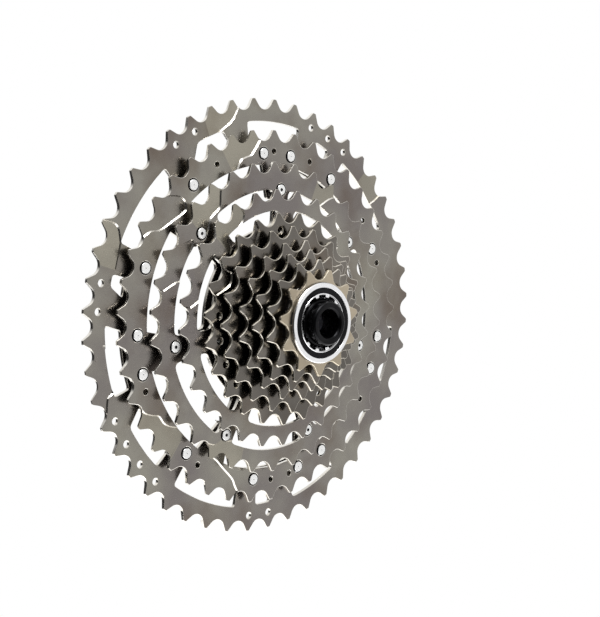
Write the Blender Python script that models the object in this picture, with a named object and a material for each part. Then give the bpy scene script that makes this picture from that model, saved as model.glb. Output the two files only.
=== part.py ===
"""Bicycle rear cassette on its freehub body, as a set of separate pieces.

The turning axis is Y. Outboard, the small-sprocket side, is -Y, and Z is up.
The origin is on the axis, at the plane where the axle sleeve seats on the hub.
"s" is the distance outboard of that plane, and an angle runs anticlockwise
from +X as seen from outboard.
"""

import math

import bmesh
import bpy

MM = 0.001
GAP = 0.3 * MM  # clearance between pieces that touch on the real object

# Sprockets: tooth count and the angle of one tooth, from the largest inwards.
SPROCKETS = [
    (48, 2.37), (41, 7.85), (34, 4.72), (28, 1.67), (23, 1.74),
    (20, 17.61), (17, 19.55), (15, 12.78), (13, 25.65), (11, 8.29),
]
CHAIN_PITCH = 12.7 * MM
SEAT_RADIUS = 4.3 * MM  # roller seat between two teeth
SEAT_DEPTH = 3.87 * MM  # its lowest point below the pitch circle
SEAT_TURN = 54  # half of the arc, in degrees
TIP_HEIGHT = 1.0 * MM  # tooth tip above the pitch circle
TIP_WIDTH = 1.7 * MM
PLATE = 1.8 * MM  # sprocket thickness
SPROCKET_PITCH = 4.22 * MM
S_LARGEST = 11.0 * MM  # middle plane of the largest sprocket

# Rings, lugs and windows of the four large sprockets.
INNER_48 = 68.7 * MM
WINDOWS_48 = [  # inner edge: start, end; outer edge: start, end; inner and outer radius in mm
    (26, 53.3, 26, 53.3, 77.5, 86.6), (60, 67.2, 60.5, 66.5, 77.5, 86.0),
    (74.5, 95.3, 74.3, 95.3, 77.5, 87.8), (102.3, 120.3, 105, 115.3, 77.8, 86.0),
    (129.3, 155.3, 129.3, 155.3, 76.6, 86.4), (164.3, 170.5, 164.3, 167.8, 79.1, 85.9),
    (180.3, 198.8, 178.6, 198.8, 79.1, 87.1), (205.8, 225.2, 209.2, 224.8, 77.5, 85.6),
    (233.7, 258.9, 233.7, 258.9, 77.5, 86.9), (267.3, 273.2, 267.3, 273.2, 77.5, 86.1),
    (281.5, 301.3, 282.8, 301, 77.5, 88.2), (310, 323.5, 310, 323.5, 77.5, 85.9),
    (334.5, 352.7, 334.5, 352.7, 77.5, 87.8),
]
INNER_41 = 68.5 * MM
HUB_DISC_34 = 41.0 * MM  # inner edge of the windows
RING_34 = [57.2, 57.4, 57.2, 59.3, 59.5, 58.0, 59.5]  # outer edge of each window in mm
TRIM_34 = {1: (0, 6.3), 3: (2.5, 0)}  # windows that start later or end earlier, in degrees
HUB_DISC_28 = 40.0 * MM
RING_28 = [48.3] * 7
ARMS = 7
ARM_PHASE = 34.2
ARM_WIDTH = 9.0 * MM
LUG_INNER_41 = 53.0 * MM
HUB_BOSS_RADIUS = 21.5 * MM
WINDOW_CORNER = 1.2 * MM

# Rivets: angles round the axis, circle radius and the pair of sprockets joined.
OUTER_RIVETS = [22.6, 57, 78.8, 91.7, 125.6, 159.8, 182, 195.2, 229.5, 262.9, 284.8, 297.5, 336.3, 348.7]
OUTER_RIVET_CIRCLE = 73.5 * MM
MIDDLE_RIVET_CIRCLE = 57.4 * MM
INNER_RIVET_CIRCLE = 36.5 * MM
RIVET_SHANK = 1.4 * MM
RIVET_SHOULDER = 2.7 * MM
RIVET_HEAD = 2.4 * MM
RIVET_HEAD_HEIGHT = 0.7 * MM
RIVET_SIDES = 6
RIVET_CLEARANCE = 0.25 * MM

# Freehub body: nine splines, one of them wide.
SPLINES = 9
SPLINE_TIP = 17.25 * MM
SPLINE_ROOT = 16.2 * MM
SPLINE_HALF_ANGLE = 8.5
WIDE_HALF_ANGLE = 11.5
SPLINE_CLEARANCE = (0.25 * MM, 0.9)  # of a sprocket's bore: outwards, and in degrees at each side
SPLINE_LENGTH = 34.95 * MM
S_SHOULDER = 14.45 * MM
S_BODY_END = S_SHOULDER + SPLINE_LENGTH
SHOULDER_RADIUS = 18.6 * MM
SHOULDER_WIDTH = 2.0 * MM
PAWL_CARRIER_RADIUS = 14.6 * MM
PAWL_CARRIER_BORE = 9.6 * MM
S_CARRIER_START = 1.2 * MM
BODY_CHAMFER = (0.3 * MM, 0.5 * MM)  # at the outboard end: inwards and along the axis
BEARING_SHOULDER = 0.8 * MM
THREAD_DEPTH = 1.2 * MM  # how far the lockring thread stops short of the outboard bearing
SPACER_RADIUS = 20.8 * MM
SEAL_LIP = (1.2 * MM, 0.9 * MM, 2.2 * MM)  # lip thickness, flange width, full width

# Bearings 24 x 15 x 5 mm.
BEARING_OUTER = 12.0 * MM
BEARING_INNER = 7.5 * MM
BEARING_WIDTH = 5.0 * MM
BALL_RADIUS = 1.19 * MM
BALL_CIRCLE = 9.75 * MM
BALL_CLEARANCE = 0.15 * MM
BALLS = 9
RACE_LAND = 0.75 * MM  # from the ball circle to the lip of either race
CAGE_HALF_THICKNESS = 0.35 * MM
CAGE_HALF_WIDTH = 1.6 * MM
CAGE_SIDES = 27
S_BEARINGS = {"inboard": 10.0 * MM, "outboard": 37.0 * MM}

# Axle sleeve and end cap.
BORE = 6.15 * MM
SLEEVE_RADIUS = 7.3 * MM
SLEEVE_FLANGE = 9.0 * MM
S_SLEEVE_END = 45.0 * MM
CAP_NOSE = 9.5 * MM
CAP_BASE = 10.5 * MM
CAP_LEAD = (8.9 * MM, 1.5 * MM, 1.0 * MM)  # radius and length of the lead-in, and of its cone
CAP_BEVEL = 0.6 * MM
CAP_BORE_BEVEL = 0.8 * MM
O_RING_GROOVE = (1.2 * MM, 0.8 * MM)  # depth and half width
O_RING_WIRE = 0.55 * MM
O_RING_SINK = 0.3 * MM
S_O_RING = 46.2 * MM
S_CAP_START = 42.3 * MM
S_CAP_STEP = 51.0 * MM
S_CAP_END = S_LARGEST + 45.0 * MM

# Lockring: a flange over a threaded skirt, with notches for its tool.
LOCKRING_THREAD = 15.0 * MM
LOCKRING_RADIUS = 17.6 * MM
LOCKRING_HOLE = 12.3 * MM
LOCKRING_FLANGE = 1.15 * MM
LOCKRING_SKIRT = 5.2 * MM
LOCKRING_NOTCHES = 12
NOTCH_RADIUS = 11.1 * MM
WASHER_RADIUS = 17.2 * MM
WASHER_THICKNESS = 0.35 * MM

# Pawls.
PAWLS = 3
PAWL_PHASE = 30
POCKET_HALF = 6.0 * MM
POCKET_FLOOR = 11.0 * MM
S_POCKET = (3.0 * MM, 9.0 * MM)
PAWL_PIVOT = (-4.2 * MM, 12.6 * MM)  # along the tangent, along the radius
PAWL_ROUND = 1.25 * MM
PAWL_TIP = [(9.4 * MM, 0.4 * MM), (9.2 * MM, 2.6 * MM), (8.0 * MM, 2.5 * MM)]
PAWL_POCKET_TOP = 17.0 * MM
SPRING_CIRCLE = 14.1 * MM
SPRING_WIRE = 0.3 * MM
SPRING_GROOVE = 0.8 * MM
S_SPRING = 6.0 * MM

FINE, MEDIUM = 28, 20  # sides of round pieces


# ---------------------------------------------------------------- materials

def metal(name, colour, roughness, metallic=1.0):
    material = bpy.data.materials.new(name)
    material.use_nodes = True
    shader = material.node_tree.nodes["Principled BSDF"]
    shader.inputs["Base Color"].default_value = (*colour, 1.0)
    shader.inputs["Roughness"].default_value = roughness
    shader.inputs["Metallic"].default_value = metallic
    return material


def make_materials():
    return {
        "nickel": metal("nickel_steel", (0.42, 0.40, 0.38), 0.35),
        "tinted": metal("tinted_steel", (0.66, 0.59, 0.47), 0.38),
        "rivet": metal("rivet_steel", (0.80, 0.80, 0.79), 0.18),
        "black": metal("black_anodised", (0.015, 0.015, 0.017), 0.42, 0.6),
        "silver": metal("silver_lockring", (0.85, 0.85, 0.86), 0.22),
        "alloy": metal("spacer_alloy", (0.30, 0.30, 0.31), 0.4),
        "body": metal("body_alloy", (0.55, 0.55, 0.57), 0.35),
        "race": metal("bearing_steel", (0.75, 0.75, 0.76), 0.15),
        "rubber": metal("rubber", (0.02, 0.02, 0.02), 0.8, 0.0),
    }


# ---------------------------------------------------------------- geometry

def polar(radius, degrees):
    angle = math.radians(degrees)
    return radius * math.cos(angle), radius * math.sin(angle)


def new_object(name, bm, material, smooth=False):
    bmesh.ops.recalc_face_normals(bm, faces=bm.faces)
    mesh = bpy.data.meshes.new(name)
    bm.to_mesh(mesh)
    bm.free()
    mesh.materials.append(material)
    if smooth:
        mesh.shade_smooth()
        mesh.set_sharp_from_angle(angle=math.radians(35))
    obj = bpy.data.objects.new(name, mesh)
    bpy.context.collection.objects.link(obj)
    return obj


def circle(radius, sides, centre=(0.0, 0.0), phase=0.0):
    points = [polar(radius, phase + 360 * i / sides) for i in range(sides)]
    return [(x + centre[0], z + centre[1]) for x, z in points]


def prism(name, loops, s_from, s_to, material):
    """A flat plate: the first loop is its outline, the others are holes through it."""
    bm = bmesh.new()
    edges = []
    for loop in loops:
        ring = [bm.verts.new((x, -s_to, z)) for x, z in loop]
        edges += [bm.edges.new((ring[i - 1], ring[i])) for i in range(len(ring))]
    bmesh.ops.triangle_fill(bm, edges=edges, use_beauty=True)
    flat = bmesh.ops.extrude_face_region(bm, geom=bm.faces[:])
    moved = [item for item in flat["geom"] if isinstance(item, bmesh.types.BMVert)]
    bmesh.ops.translate(bm, verts=moved, vec=(0, s_to - s_from, 0))
    return new_object(name, bm, material)


def turned(name, profile, material, sides=FINE, closed=True):
    """A piece turned about Y: the profile is a list of (radius, s), a loop when closed."""
    bm = bmesh.new()
    rings = []
    for radius, s in profile:
        if radius == 0:
            rings.append([bm.verts.new((0, -s, 0))])
            continue
        rings.append([bm.verts.new((x, -s, z)) for x, z in circle(radius, sides)])
    pairs = zip(rings, rings[1:] + rings[:1]) if closed else zip(rings, rings[1:])
    for first, second in pairs:
        for i in range(sides):
            j = (i + 1) % sides
            corners = [first[i % len(first)], first[j % len(first)],
                       second[j % len(second)], second[i % len(second)]]
            bm.faces.new(list(dict.fromkeys(corners)))
    return new_object(name, bm, material, smooth=True)


def ring(name, inner, outer, s_from, s_to, material, sides=FINE):
    profile = [(inner, s_from), (outer, s_from), (outer, s_to), (inner, s_to)]
    return turned(name, profile, material, sides)


def combine(target, other, operation):
    """Applies a Boolean with another object, and keeps the other out of the part."""
    modifier = target.modifiers.new(operation.lower(), "BOOLEAN")
    modifier.operation = operation
    modifier.object = other
    other.hide_render = True
    other.display_type = "WIRE"
    other.name = f"cutter_{target.name}"
    return target


# ---------------------------------------------------------------- sprockets

def pitch_radius(teeth):
    return CHAIN_PITCH / (2 * math.sin(math.pi / teeth))


def tooth_outline(teeth, phase):
    """Roller seats on the pitch circle, joined by straight flanks to flat tips."""
    radius = pitch_radius(teeth)
    tip = radius + TIP_HEIGHT
    half_tip = math.degrees(TIP_WIDTH / 2 / tip)
    points = []
    for i in range(teeth):
        middle = phase + 360 * i / teeth
        points += [polar(tip, middle - half_tip), polar(tip, middle + half_tip)]
        gap = middle + 180 / teeth
        centre = polar(radius - SEAT_DEPTH + SEAT_RADIUS, gap)
        for turn in (-SEAT_TURN, 0, SEAT_TURN):
            x, z = polar(SEAT_RADIUS, gap + 180 - turn)
            points.append((centre[0] + x, centre[1] + z))
    return points


def spline_outline(root, tip, margin):
    """Outline of the splined body; margin widens each spline on both sides."""
    points = []
    for i in range(SPLINES):
        middle = 90 + 360 * i / SPLINES
        half = (WIDE_HALF_ANGLE if i == 0 else SPLINE_HALF_ANGLE) + margin
        points += [polar(root, middle - half), polar(tip, middle - half),
                   polar(tip, middle + half), polar(root, middle + half),
                   polar(root, middle + 180 / SPLINES)]
    return points


def spline_bore():
    outwards, sideways = SPLINE_CLEARANCE
    return spline_outline(SPLINE_ROOT + outwards, SPLINE_TIP + outwards, sideways)


def window(start_in, end_in, start_out, end_out, inner, outer):
    """A window between two radii, given by the angles of its four corners."""
    corner, steps = WINDOW_CORNER, 3
    slant_in = math.degrees(corner / inner)
    slant_out = math.degrees(corner / outer)
    points = [polar(inner + corner, start_in)]
    for i in range(steps + 1):
        points.append(polar(inner, start_in + slant_in + (end_in - start_in - 2 * slant_in) * i / steps))
    points += [polar(inner + corner, end_in), polar(outer - corner, end_out)]
    for i in range(steps + 1):
        points.append(polar(outer, end_out - slant_out - (end_out - start_out - 2 * slant_out) * i / steps))
    return points + [polar(outer - corner, start_out)]


def rivet_holes(radius, angles):
    hole = RIVET_SHANK + RIVET_CLEARANCE
    return [circle(hole, RIVET_SIDES, polar(radius, a), a) for a in angles]


def arm_angles():
    return [ARM_PHASE + 360 * i / ARMS for i in range(ARMS)]


def arm_windows(inner, outer_edges, trims):
    """The openings between arms of constant width; trims make some of them shorter."""
    openings = []
    for number, (angle, edge) in enumerate(zip(arm_angles(), outer_edges)):
        outer = edge * MM
        half_in = math.degrees(ARM_WIDTH / 2 / inner)
        half_out = math.degrees(ARM_WIDTH / 2 / outer)
        later, earlier = trims.get(number, (0, 0))
        start, end = angle + half_in + later, angle + 360 / ARMS - half_in - earlier
        shift = half_in - half_out
        points = [polar(inner, start + (end - start) * i / 4) for i in range(5)]
        start, end = start - shift, end + shift
        points += [polar(outer, end - (end - start) * i / 4) for i in range(5)]
        openings.append(points)
    return openings


def lug_edge(ring_edge, lug_edge_radius):
    """Inner edge of a ring that has a lug at each arm."""
    half = math.degrees(ARM_WIDTH / 2 / lug_edge_radius)
    between = 360 / ARMS - 2 * half
    points = []
    for angle in arm_angles():
        points += [polar(lug_edge_radius, angle - half), polar(lug_edge_radius, angle + half)]
        points += [polar(ring_edge, angle + half + between * k) for k in (0.08, 0.36, 0.64, 0.92)]
    return points


def sprocket_holes(teeth):
    """The openings through each sprocket's plate, its bore first."""
    if teeth == 48:
        cuts = [window(*corners, inner * MM, outer * MM) for *corners, inner, outer in WINDOWS_48]
        return [circle(INNER_48, 42)] + cuts + rivet_holes(OUTER_RIVET_CIRCLE, OUTER_RIVETS)
    if teeth == 41:
        return ([lug_edge(INNER_41, LUG_INNER_41)] + rivet_holes(OUTER_RIVET_CIRCLE, OUTER_RIVETS)
                + rivet_holes(MIDDLE_RIVET_CIRCLE, arm_angles()))
    if teeth == 34:
        return ([spline_bore()] + arm_windows(HUB_DISC_34, RING_34, TRIM_34)
                + rivet_holes(MIDDLE_RIVET_CIRCLE, arm_angles())
                + rivet_holes(INNER_RIVET_CIRCLE, arm_angles()))
    if teeth == 28:
        return ([spline_bore()] + arm_windows(HUB_DISC_28, RING_28, {})
                + rivet_holes(INNER_RIVET_CIRCLE, arm_angles()))
    return [spline_bore()]


def sprocket_plane(index):
    return S_LARGEST + SPROCKET_PITCH * index


def make_sprockets(materials):
    for index, (teeth, phase) in enumerate(SPROCKETS):
        middle = sprocket_plane(index)
        loops = [tooth_outline(teeth, phase)] + sprocket_holes(teeth)
        material = materials["tinted" if teeth == 11 else "nickel"]
        plate = prism(f"sprocket_{teeth}t", loops, middle - PLATE / 2, middle + PLATE / 2, material)
        if teeth == 34:
            boss_end = sprocket_plane(index + 1) - PLATE / 2 - GAP
            boss = prism("boss", [circle(HUB_BOSS_RADIUS, FINE), spline_bore()],
                         S_SHOULDER + GAP, boss_end, material)
            combine(plate, boss, "UNION")


def make_spacers(materials):
    """Rings between the splined sprockets outboard of the riveted group."""
    for index in range(3, len(SPROCKETS) - 2):
        start = sprocket_plane(index) + PLATE / 2 + GAP
        end = sprocket_plane(index + 1) - PLATE / 2 - GAP
        larger, smaller = SPROCKETS[index][0], SPROCKETS[index + 1][0]
        ring(f"spacer_{larger}_{smaller}", SPLINE_TIP + GAP, SPACER_RADIUS, start, end,
             materials["alloy"], MEDIUM)


def make_rivet(name, radius, angle, first, material):
    """A shouldered rivet: the shoulder spaces the plates, the two heads hold them."""
    inboard = sprocket_plane(first) - PLATE / 2
    outboard = sprocket_plane(first + 1) + PLATE / 2
    shoulder = (sprocket_plane(first) + PLATE / 2 + GAP, sprocket_plane(first + 1) - PLATE / 2 - GAP)
    profile = [
        (0, inboard - GAP - RIVET_HEAD_HEIGHT), (RIVET_HEAD, inboard - GAP - RIVET_HEAD_HEIGHT),
        (RIVET_HEAD, inboard - GAP), (RIVET_SHANK, inboard - GAP),
        (RIVET_SHANK, shoulder[0]), (RIVET_SHOULDER, shoulder[0]),
        (RIVET_SHOULDER, shoulder[1]), (RIVET_SHANK, shoulder[1]),
        (RIVET_SHANK, outboard + GAP), (RIVET_HEAD, outboard + GAP),
        (RIVET_HEAD * 0.8, outboard + GAP + RIVET_HEAD_HEIGHT), (0, outboard + GAP + RIVET_HEAD_HEIGHT),
    ]
    obj = turned(name, profile, material, RIVET_SIDES, closed=False)
    x, z = polar(radius, angle)
    obj.location = (x, 0, z)
    obj.rotation_euler = (0, math.radians(-angle), 0)
    return obj


def make_rivets(materials):
    groups = [
        ("rivet_48_41", OUTER_RIVET_CIRCLE, OUTER_RIVETS, 0),
        ("rivet_41_34", MIDDLE_RIVET_CIRCLE, arm_angles(), 1),
        ("rivet_34_28", INNER_RIVET_CIRCLE, arm_angles(), 2),
    ]
    for name, radius, angles, first in groups:
        for number, angle in enumerate(angles, 1):
            make_rivet(f"{name}_{number:02d}", radius, angle, first, materials["rivet"])


# ---------------------------------------------------------------- freehub body

def tangent_frame(angle, along, outward):
    """A point given along the tangent and outward from the axis, at a place round it."""
    x, z = polar(outward, angle)
    dx, dz = polar(along, angle + 90)
    return x + dx, z + dz


def pawl_angles():
    return [PAWL_PHASE + 360 * i / PAWLS for i in range(PAWLS)]


def freehub_profile():
    """Half section of the body as (radius, s): pawl carrier, shoulder, spline roots and bearing seats."""
    inboard, outboard = S_BEARINGS["inboard"], S_BEARINGS["outboard"]
    seat = BEARING_OUTER + GAP / 2
    bore = BEARING_OUTER - BEARING_SHOULDER
    spring_floor = SPRING_CIRCLE - 2 * SPRING_WIRE
    thread = LOCKRING_THREAD + GAP
    thread_end = outboard + BEARING_WIDTH + THREAD_DEPTH
    chamfer_in, chamfer_along = BODY_CHAMFER
    return [
        (PAWL_CARRIER_BORE, S_CARRIER_START), (PAWL_CARRIER_RADIUS, S_CARRIER_START),
        (PAWL_CARRIER_RADIUS, S_SPRING - SPRING_GROOVE), (spring_floor, S_SPRING - SPRING_GROOVE),
        (spring_floor, S_SPRING + SPRING_GROOVE), (PAWL_CARRIER_RADIUS, S_SPRING + SPRING_GROOVE),
        (PAWL_CARRIER_RADIUS, S_SHOULDER - SHOULDER_WIDTH), (SHOULDER_RADIUS, S_SHOULDER - SHOULDER_WIDTH),
        (SHOULDER_RADIUS, S_SHOULDER), (SPLINE_ROOT, S_SHOULDER),
        (SPLINE_ROOT, S_BODY_END - chamfer_along), (SPLINE_ROOT - chamfer_in, S_BODY_END),
        (thread, S_BODY_END), (thread, thread_end), (seat, thread_end), (seat, outboard - GAP),
        (bore, outboard - GAP), (bore, inboard + BEARING_WIDTH + GAP),
        (seat, inboard + BEARING_WIDTH + GAP), (seat, inboard - GAP), (PAWL_CARRIER_BORE, inboard - GAP),
    ]


def make_freehub_body(materials):
    """The turned body, with its splines joined on and its pawl pockets cut out."""
    sink = 0.2 * MM  # how far the spline ring goes into the body, so that the two join
    body = turned("freehub_body", freehub_profile(), materials["body"])
    outline = spline_outline(SPLINE_ROOT - sink, SPLINE_TIP, 0.0)
    inner = circle(SPLINE_ROOT - 3 * sink, FINE)
    s_end = S_BODY_END - BODY_CHAMFER[1] - sink / 2
    splines = prism("splines", [outline, inner], S_SHOULDER - 2 * sink, s_end, materials["body"])
    combine(body, splines, "UNION")
    for angle in pawl_angles():
        corners = [(-POCKET_HALF, POCKET_FLOOR), (POCKET_HALF, POCKET_FLOOR),
                   (POCKET_HALF, PAWL_POCKET_TOP), (-POCKET_HALF, PAWL_POCKET_TOP)]
        outline = [tangent_frame(angle, *corner) for corner in corners]
        pocket = prism("pocket", [outline], *S_POCKET, materials["body"])
        combine(body, pocket, "DIFFERENCE")


def pawl_outline():
    """Round at the pivot, with a square driving tip: (along the tangent, outward)."""
    heel = [polar(PAWL_ROUND, 100 + 20 * i) for i in range(9)]
    return heel + PAWL_TIP


def make_pawls(materials):
    for number, angle in enumerate(pawl_angles(), 1):
        outline = [tangent_frame(angle, *point) for point in pawl_outline()]
        pawl = prism(f"pawl_{number}", [outline], S_POCKET[0] + GAP, S_POCKET[1] - GAP, materials["race"])
        x, z = tangent_frame(angle, *PAWL_PIVOT)
        pawl.location = (x, 0, z)
        notch = ring("notch", SPRING_CIRCLE - 2.6 * SPRING_WIRE, PAWL_POCKET_TOP, S_SPRING - SPRING_GROOVE,
                     S_SPRING + SPRING_GROOVE, materials["race"])
        combine(pawl, notch, "DIFFERENCE")
    turned("pawl_spring", [(SPRING_CIRCLE + x, S_SPRING + z) for x, z in circle(SPRING_WIRE, 6)],
           materials["race"], MEDIUM)


def make_seal(materials):
    """A rubber lip that closes the gap to the hub, in front of the shoulder."""
    lip, flange, width = SEAL_LIP
    s_end = S_SHOULDER - SHOULDER_WIDTH - GAP
    inner = PAWL_CARRIER_RADIUS + GAP
    profile = [(inner, s_end - width), (inner + lip, s_end - width),
               (SHOULDER_RADIUS, s_end - flange), (SHOULDER_RADIUS, s_end), (inner, s_end)]
    turned("freehub_seal", profile, materials["rubber"], MEDIUM)


# ---------------------------------------------------------------- bearings, sleeve, cap

def make_bearing(place, materials):
    start = S_BEARINGS[place]
    end = start + BEARING_WIDTH
    middle = (start + end) / 2
    groove = BALL_RADIUS + BALL_CLEARANCE
    half = BALL_RADIUS * 0.8
    outer_land, inner_land = BALL_CIRCLE + RACE_LAND, BALL_CIRCLE - RACE_LAND
    turned(f"bearing_{place}_outer_race", [
        (BEARING_OUTER - GAP / 2, start), (BEARING_OUTER - GAP / 2, end), (outer_land, end),
        (outer_land, middle + half), (BALL_CIRCLE + groove, middle + half / 2),
        (BALL_CIRCLE + groove, middle - half / 2), (outer_land, middle - half), (outer_land, start),
    ], materials["race"], MEDIUM)
    turned(f"bearing_{place}_inner_race", [
        (BEARING_INNER, start), (inner_land, start), (inner_land, middle - half),
        (BALL_CIRCLE - groove, middle - half / 2), (BALL_CIRCLE - groove, middle + half / 2),
        (inner_land, middle + half), (inner_land, end), (BEARING_INNER, end),
    ], materials["race"], MEDIUM)
    make_ball_cage(f"bearing_{place}_ball_cage", middle, materials)


def make_ball_cage(name, middle, materials):
    """The balls and the cage that keeps them apart, as one turning ring."""
    cage = ring(name, BALL_CIRCLE - CAGE_HALF_THICKNESS, BALL_CIRCLE + CAGE_HALF_THICKNESS,
                middle - CAGE_HALF_WIDTH, middle + CAGE_HALF_WIDTH, materials["race"], CAGE_SIDES)
    bm = bmesh.new()
    for i in range(BALLS):
        ball = bmesh.ops.create_icosphere(bm, subdivisions=1, radius=BALL_RADIUS)
        x, z = polar(BALL_CIRCLE, 360 * i / BALLS)
        bmesh.ops.translate(bm, verts=ball["verts"], vec=(x, -middle, z))
    combine(cage, new_object("balls", bm, materials["race"]), "UNION")


def make_axle_sleeve(materials):
    start = S_BEARINGS["inboard"] - GAP
    profile = [(BORE, 0), (SLEEVE_FLANGE, 0), (SLEEVE_FLANGE, start), (SLEEVE_RADIUS, start),
               (SLEEVE_RADIUS, S_SLEEVE_END), (BORE, S_SLEEVE_END)]
    turned("axle_sleeve", profile, materials["body"], MEDIUM)


def make_end_cap(materials):
    """A stepped push-on cap: its nose rests in the frame, its skirt grips the sleeve."""
    skirt = SLEEVE_RADIUS + GAP
    lead, lead_length, cone = CAP_LEAD
    depth, half = O_RING_GROOVE
    profile = [
        (skirt, S_CAP_START), (lead, S_CAP_START), (lead, S_CAP_START + lead_length),
        (CAP_BASE, S_CAP_START + lead_length + cone), (CAP_BASE, S_O_RING - half),
        (CAP_BASE - depth, S_O_RING - half), (CAP_BASE - depth, S_O_RING + half),
        (CAP_BASE, S_O_RING + half), (CAP_BASE, S_CAP_STEP - CAP_BEVEL),
        (CAP_BASE - CAP_BEVEL, S_CAP_STEP), (CAP_NOSE, S_CAP_STEP),
        (CAP_NOSE, S_CAP_END - CAP_BEVEL), (CAP_NOSE - CAP_BEVEL, S_CAP_END),
        (BORE + CAP_BORE_BEVEL, S_CAP_END), (BORE, S_CAP_END - CAP_BORE_BEVEL),
        (BORE, S_SLEEVE_END + GAP), (skirt, S_SLEEVE_END + GAP),
    ]
    turned("end_cap", profile, materials["black"], FINE)
    wire = circle(O_RING_WIRE, 6, (CAP_BASE - O_RING_SINK, S_O_RING))
    turned("end_cap_o_ring", wire, materials["rubber"], FINE)


# ---------------------------------------------------------------- lockring

def make_lockring(materials):
    """A flanged ring that screws into the body, over a thin washer."""
    face = sprocket_plane(len(SPROCKETS) - 1) + PLATE / 2
    washer_start = face + GAP / 2
    washer_end = washer_start + WASHER_THICKNESS
    ring("lockring_washer", LOCKRING_THREAD + GAP, WASHER_RADIUS, washer_start, washer_end,
         materials["silver"])
    back = washer_end + GAP / 2
    front = back + LOCKRING_FLANGE
    end = S_BODY_END - LOCKRING_SKIRT
    bevel = 0.5 * MM
    profile = [
        (LOCKRING_HOLE, end), (LOCKRING_THREAD - bevel, end), (LOCKRING_THREAD, end + bevel),
        (LOCKRING_THREAD, back), (LOCKRING_RADIUS, back), (LOCKRING_RADIUS, front - bevel),
        (LOCKRING_RADIUS - bevel, front), (LOCKRING_HOLE + bevel, front), (LOCKRING_HOLE, front - bevel),
    ]
    lockring = turned("lockring", profile, materials["silver"], 36)
    hollow = LOCKRING_HOLE - 0.1 * MM
    outline = []
    for i in range(LOCKRING_NOTCHES):
        middle = 360 * i / LOCKRING_NOTCHES
        outline += [polar(hollow, middle - 9), polar(hollow, middle + 9),
                    polar(NOTCH_RADIUS, middle + 11), polar(NOTCH_RADIUS, middle + 19)]
    notches = prism("notches", [circle(LOCKRING_HOLE + 0.4 * MM, 36), outline], end + 0.4 * MM,
                    front - 0.7 * MM, materials["silver"])
    combine(lockring, notches, "UNION")


def main():
    for obj in list(bpy.data.objects):
        bpy.data.objects.remove(obj)
    materials = make_materials()
    make_sprockets(materials)
    make_spacers(materials)
    make_rivets(materials)
    make_freehub_body(materials)
    make_seal(materials)
    make_pawls(materials)
    for place in S_BEARINGS:
        make_bearing(place, materials)
    make_axle_sleeve(materials)
    make_end_cap(materials)
    make_lockring(materials)


main()
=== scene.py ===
"""The looks of a bicycle rear cassette: fine sprockets, rivets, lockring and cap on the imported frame."""

import math

import bmesh
import bpy
from mathutils import Matrix, Vector


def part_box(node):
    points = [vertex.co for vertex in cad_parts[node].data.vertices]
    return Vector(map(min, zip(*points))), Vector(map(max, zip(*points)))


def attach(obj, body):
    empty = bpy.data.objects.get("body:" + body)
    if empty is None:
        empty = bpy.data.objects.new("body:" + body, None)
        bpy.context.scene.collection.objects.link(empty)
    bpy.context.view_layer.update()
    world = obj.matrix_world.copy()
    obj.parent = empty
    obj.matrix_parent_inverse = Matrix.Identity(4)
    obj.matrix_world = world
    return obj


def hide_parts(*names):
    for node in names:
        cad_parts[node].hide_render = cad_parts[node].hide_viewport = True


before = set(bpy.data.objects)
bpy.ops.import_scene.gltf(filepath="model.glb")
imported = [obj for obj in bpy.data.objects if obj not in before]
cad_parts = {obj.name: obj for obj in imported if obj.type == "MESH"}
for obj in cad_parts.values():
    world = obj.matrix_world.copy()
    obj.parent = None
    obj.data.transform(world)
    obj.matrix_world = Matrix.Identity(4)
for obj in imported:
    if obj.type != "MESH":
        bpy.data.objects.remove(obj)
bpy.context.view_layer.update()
MM = 0.001

# ---------------------------------------------------------------- driving values

SPROCKETS = [  # teeth, angle of one tooth in degrees, from the largest inwards
    (48, 2.37), (41, 7.85), (34, 4.72), (28, 1.67), (23, 1.74),
    (20, 17.61), (17, 19.55), (15, 12.78), (13, 25.65), (11, 8.29),
]
CHAIN_PITCH = 12.7 * MM
SEAT_RADIUS = 4.3 * MM  # roller seat between two teeth
SEAT_DEPTH = 3.87 * MM  # its lowest point below the pitch circle
SEAT_TURN = 54  # half of the arc, in degrees
TIP_HEIGHT = 1.0 * MM
TIP_WIDTH = 1.7 * MM
TIP_ROUND = 0.35 * MM
TIP_THINNING = 0.25 * MM  # how much each face of a tooth drops towards its tip
TAPER_START = 0.8 * MM  # how far inside the pitch circle that drop begins
EDGE = 0.2 * MM  # width of the broken edge round every plate
SMALL_EDGE = 0.34 * MM  # the same on the sprockets below 28 teeth
PLATE_SHARP = 20  # degrees; keeps the shading of an edge off the flat face beside it

ARMS = 7
ARM_PHASE = 34.2
ARM_WIDTH = 9.0 * MM
INNER_48 = 68.7 * MM
WINDOW_CORNER_48 = 1.5 * MM
WINDOWS_48 = [  # inner edge: start, end; outer edge: start, end; inner and outer radius in mm
    (26, 53.3, 26, 53.3, 77.5, 86.6), (60, 67.2, 60.5, 66.5, 77.5, 86.0),
    (74.5, 95.3, 74.3, 95.3, 77.5, 87.8), (102.3, 120.3, 105, 115.3, 77.8, 86.0),
    (129.3, 155.3, 129.3, 155.3, 76.6, 86.4), (164.3, 170.5, 164.3, 167.8, 79.1, 85.9),
    (180.3, 198.8, 178.6, 198.8, 79.1, 87.1), (205.8, 225.2, 209.2, 224.8, 77.5, 85.6),
    (233.7, 258.9, 233.7, 258.9, 77.5, 86.9), (267.3, 273.2, 267.3, 273.2, 77.5, 86.1),
    (281.5, 301.3, 282.8, 301, 77.5, 88.2), (310, 323.5, 310, 323.5, 77.5, 85.9),
    (334.5, 352.7, 334.5, 352.7, 77.5, 87.8),
]
INNER_41 = 68.5 * MM
LUG_INNER_41 = 53.0 * MM
LUG_CORNER = 1.6 * MM
LUG_SHOULDER = 3.5  # degrees between the side of a lug and the round of the ring
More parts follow.
